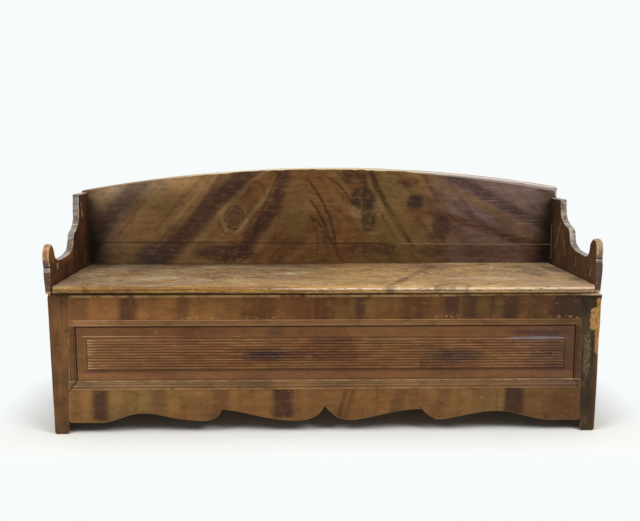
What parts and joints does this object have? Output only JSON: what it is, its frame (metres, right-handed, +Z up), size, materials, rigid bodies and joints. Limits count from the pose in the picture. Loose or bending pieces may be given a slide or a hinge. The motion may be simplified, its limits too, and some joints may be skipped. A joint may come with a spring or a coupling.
{
  "type": "settle bench",
  "caption": "Boarded pine settle with scrolled arms, a lift-up seat over a bedding box and a framed, reeded front that pulls out on slats as a bed.",
  "frame": {"origin": "on the floor, at the middle of the overall width and depth", "axes": "+X along the seat, to the right of someone facing the front; +Y from the front to the back; +Z up"},
  "size_m": [1.8029, 0.558, 0.8552],
  "materials": {
    "grained_front": "worn oil paint grained in reddish brown with dark purple-brown bands",
    "grained_panel": "worn reddish-brown grained paint with dark patches",
    "grained_back": "worn flame-grained paint, golden brown with dark diagonal bands",
    "painted_ends": "worn dark brown paint, scratched, bare grey wood on the front edges",
    "worn_seat": "paint worn to greyish tan wood, scratched",
    "bare_pine": "unpainted aged pine",
    "wood_pins": "turned and riven pins, darkened",
    "iron": "hand-cut iron nails, rusted dark"
  },
  "bodies": {
    "carcass": {"end_board_left": "painted_ends", "end_board_right": "painted_ends", "back_lower_board": "bare_pine", "back_middle_board": "grained_back", "back_upper_board": "grained_back", "back_nails": "iron", "lid_cleat_left": "bare_pine", "lid_cleat_right": "bare_pine", "cleat_nails": "iron", "pivot_pin_left": "wood_pins", "pivot_pin_right": "wood_pins", "front_bearer": "bare_pine", "rear_bearer": "bare_pine", "fixed_slat_1": "bare_pine", "fixed_slat_2": "bare_pine", "fixed_slat_3": "bare_pine", "fixed_slat_4": "bare_pine", "fixed_slat_5": "bare_pine", "fixed_slat_6": "bare_pine", "fixed_slat_7": "bare_pine", "fixed_slat_8": "bare_pine", "fixed_slat_nails": "iron"},
    "lid": {"lid_front_board": "worn_seat", "lid_rear_board": "worn_seat", "lid_batten_left": "bare_pine", "lid_batten_middle": "bare_pine", "lid_batten_right": "bare_pine", "batten_nails": "iron"},
    "bed_front": {"stile_left": "grained_front", "stile_right": "grained_front", "top_rail": "grained_front", "apron_rail": "grained_front", "reeded_panel": "grained_panel", "moulding_bottom": "grained_front", "moulding_right": "grained_front", "moulding_top": "grained_front", "moulding_left": "grained_front", "frame_pegs": "wood_pins", "sliding_bearer": "bare_pine", "bearer_nails": "iron", "sliding_slat_1": "bare_pine", "sliding_slat_2": "bare_pine", "sliding_slat_3": "bare_pine", "sliding_slat_4": "bare_pine", "sliding_slat_5": "bare_pine", "sliding_slat_6": "bare_pine", "sliding_slat_7": "bare_pine", "slat_stop_left": "bare_pine", "slat_stop_middle": "bare_pine", "slat_stop_right": "bare_pine", "sliding_slat_nails": "iron"}
  },
  "joints": [
    {"name": "lid_hinge", "type": "hinge", "parent": "carcass", "child": "lid", "pos_m": [0, 0.222, 0.481], "axis": [-1, 0, 0], "range_deg": [0, 93]},
    {"name": "front_slide", "type": "slide", "parent": "carcass", "child": "bed_front", "axis": [0, -1, 0], "range_m": [0, 0.378]}
  ]
}
